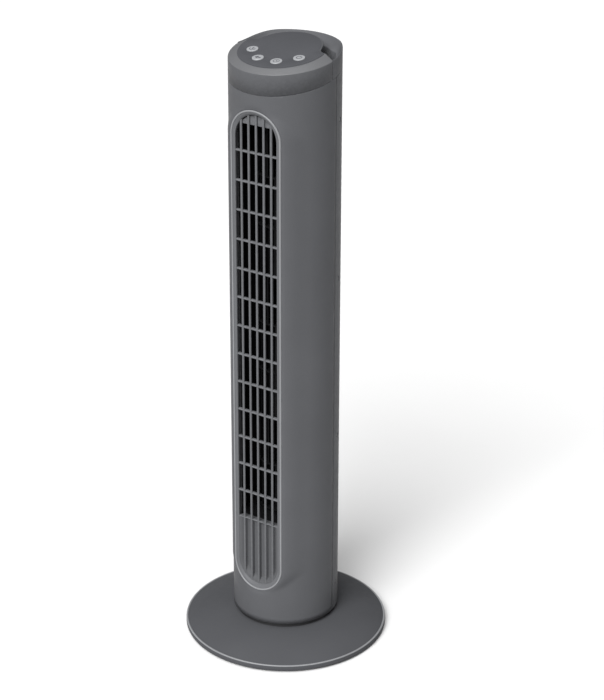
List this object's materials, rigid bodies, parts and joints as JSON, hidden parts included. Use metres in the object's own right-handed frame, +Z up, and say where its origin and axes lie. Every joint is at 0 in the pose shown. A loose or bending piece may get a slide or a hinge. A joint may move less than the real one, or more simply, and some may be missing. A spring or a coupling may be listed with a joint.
{
  "type": "tower fan",
  "caption": "Upright round tower fan on a disc base, with a tall slotted air outlet, top push buttons, a rear carry handle and a swinging tower.",
  "frame": {"origin": "on the floor, at the centre of the round base, on the axis that the tower swings about", "axes": "+Z up, the air outlet faces -Y, the fan's right-hand side seen from the front is towards +X"},
  "size_m": [0.27, 0.27, 0.8134],
  "materials": {
    "grey_shell": "fine matte moulded grey",
    "grille_grey": "satin moulded mid grey",
    "panel_sheet": "fine-textured film",
    "button_grey": "light grey, semi-gloss",
    "black_plastic": "matte black",
    "natural_nylon": "natural acetal",
    "black_rubber": "matte",
    "zinc_steel": "zinc-plated",
    "shaft_steel": "ground steel",
    "motor_steel": "black painted steel",
    "lamination": "pressed laminations",
    "copper_winding": "enamelled copper",
    "bronze": "sintered bronze",
    "circuit_board": "green solder mask",
    "component_black": "moulded"
  },
  "bodies": {
    "base": {"base_shell": "grey_shell", "base_feet": "black_rubber", "swivel_seat": "black_plastic", "swing_gear": "natural_nylon", "base_screws": "zinc_steel"},
    "tower": {"bottom_plate": "grey_shell", "pivot_retainer": "zinc_steel", "retainer_screws": "zinc_steel", "swing_motor": "motor_steel", "swing_motor_screws": "zinc_steel", "front_shell": "grey_shell", "rear_cover": "grey_shell", "cover_screws": "zinc_steel", "bezel_ring": "grille_grey", "outlet_grille": "grille_grey", "flute_panel": "grille_grey", "duct_floor": "black_plastic", "duct_roof": "black_plastic", "scroll_wall": "black_plastic", "vortex_tongue": "black_plastic", "top_bearing": "bronze", "motor_stator": "lamination", "motor_windings": "copper_winding", "motor_shield_lower": "motor_steel", "motor_shield_upper": "motor_steel", "motor_bushes": "bronze", "motor_spacers": "zinc_steel", "motor_screws": "zinc_steel", "power_board": "circuit_board", "run_capacitor": "component_black", "board_stand": "black_plastic", "cord_bushing": "black_rubber", "wire_channel": "black_plastic", "top_cap": "grey_shell", "control_panel": "panel_sheet", "handle_tub": "black_plastic", "control_board": "circuit_board", "tact_switches": "component_black", "board_pillars": "natural_nylon", "board_screws": "zinc_steel"},
    "pinion": {"swing_pinion": "natural_nylon"},
    "impeller": {"impeller_segments": "black_plastic", "impeller_end_cap": "black_plastic", "impeller_hub": "shaft_steel", "drive_shaft": "shaft_steel", "motor_rotor": "lamination"},
    "button_oscillate": {"button_oscillate": "button_grey"},
    "button_speed": {"button_speed": "button_grey"},
    "button_timer": {"button_timer": "button_grey"},
    "button_power": {"button_power": "button_grey"}
  },
  "joints": [
    {"name": "oscillation", "type": "hinge", "parent": "base", "child": "tower", "pos_m": [0, 0, 0.034], "axis": [0, 0, 1], "range_deg": [-40, 40]},
    {"name": "swing_pinion_spin", "type": "hinge", "parent": "tower", "child": "pinion", "pos_m": [0.0375, 0, 0.03], "axis": [0, 0, 1], "range_deg": [-160, 160]},
    {"name": "impeller_spin", "type": "hinge", "parent": "tower", "child": "impeller", "pos_m": [0, 0.008, 0.4], "axis": [0, 0, 1], "continuous": true},
    {"name": "button_oscillate_press", "type": "slide", "parent": "tower", "child": "button_oscillate", "axis": [0, 0.1564, -0.9877], "range_m": [0, 0.0007], "stiffness_N_per_m": 400, "springref_m": -0.0006},
    {"name": "button_speed_press", "type": "slide", "parent": "tower", "child": "button_speed", "axis": [0, 0.1564, -0.9877], "range_m": [0, 0.0007], "stiffness_N_per_m": 400, "springref_m": -0.0006},
    {"name": "button_timer_press", "type": "slide", "parent": "tower", "child": "button_timer", "axis": [0, 0.1564, -0.9877], "range_m": [0, 0.0007], "stiffness_N_per_m": 400, "springref_m": -0.0006},
    {"name": "button_power_press", "type": "slide", "parent": "tower", "child": "button_power", "axis": [0, 0.1564, -0.9877], "range_m": [0, 0.0007], "stiffness_N_per_m": 400, "springref_m": -0.0006}
  ],
  "couplings": [
    {"joint": "swing_pinion_spin", "follows": "oscillation", "ratio": 4}
  ]
}
